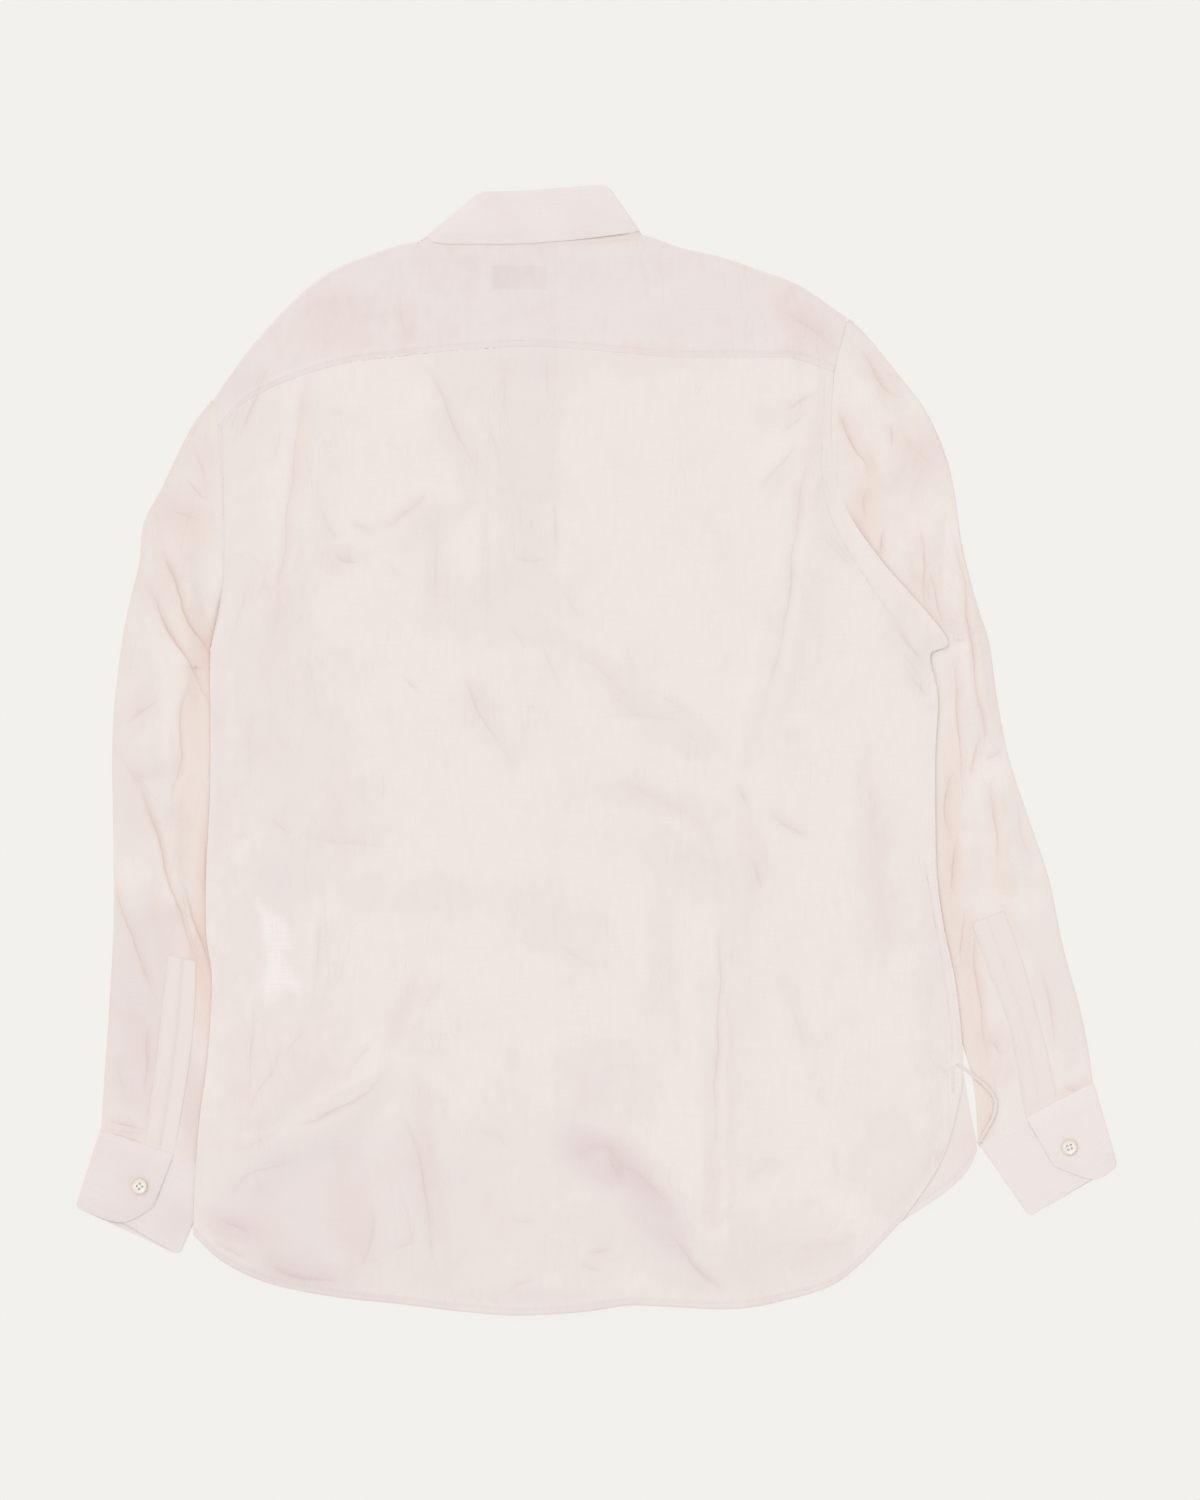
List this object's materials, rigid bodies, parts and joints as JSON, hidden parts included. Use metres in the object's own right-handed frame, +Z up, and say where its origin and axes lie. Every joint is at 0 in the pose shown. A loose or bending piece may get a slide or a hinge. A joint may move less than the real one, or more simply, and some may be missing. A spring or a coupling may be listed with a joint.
{
  "type": "silk blouse",
  "caption": "Long-sleeved silk blouse with a collar, back yoke, button cuffs and shirt-tail hem, lying flat with its back up.",
  "frame": {"origin": "middle of the underside of the whole outline, on the surface it lies on", "axes": "+X towards the blouse's own right sleeve, +Y towards the collar, +Z up from the surface, out of the back"},
  "size_m": [0.7508, 0.8124, 0.0122],
  "materials": {
    "silk": "soft satin sheen",
    "silk_sleeves": "soft satin sheen",
    "shell": "mother-of-pearl",
    "label_tape": "blank satin tape"
  },
  "bodies": {
    "root": {"back": "silk", "yoke": "silk", "front_left": "silk", "front_right": "silk", "front_placket": "silk", "sleeve_left": "silk_sleeves", "sleeve_right": "silk_sleeves", "sleeve_placket_left": "silk", "sleeve_placket_right": "silk", "cuff_left": "silk", "cuff_right": "silk", "collar_leaf": "silk", "collar_stand": "silk", "front_button_1": "shell", "front_button_2": "shell", "front_button_3": "shell", "front_button_4": "shell", "front_button_5": "shell", "front_button_6": "shell", "front_button_7": "shell", "neck_button": "shell", "cuff_button_left": "shell", "cuff_button_right": "shell", "neck_label": "label_tape", "care_label": "label_tape"}
  },
  "joints": []
}
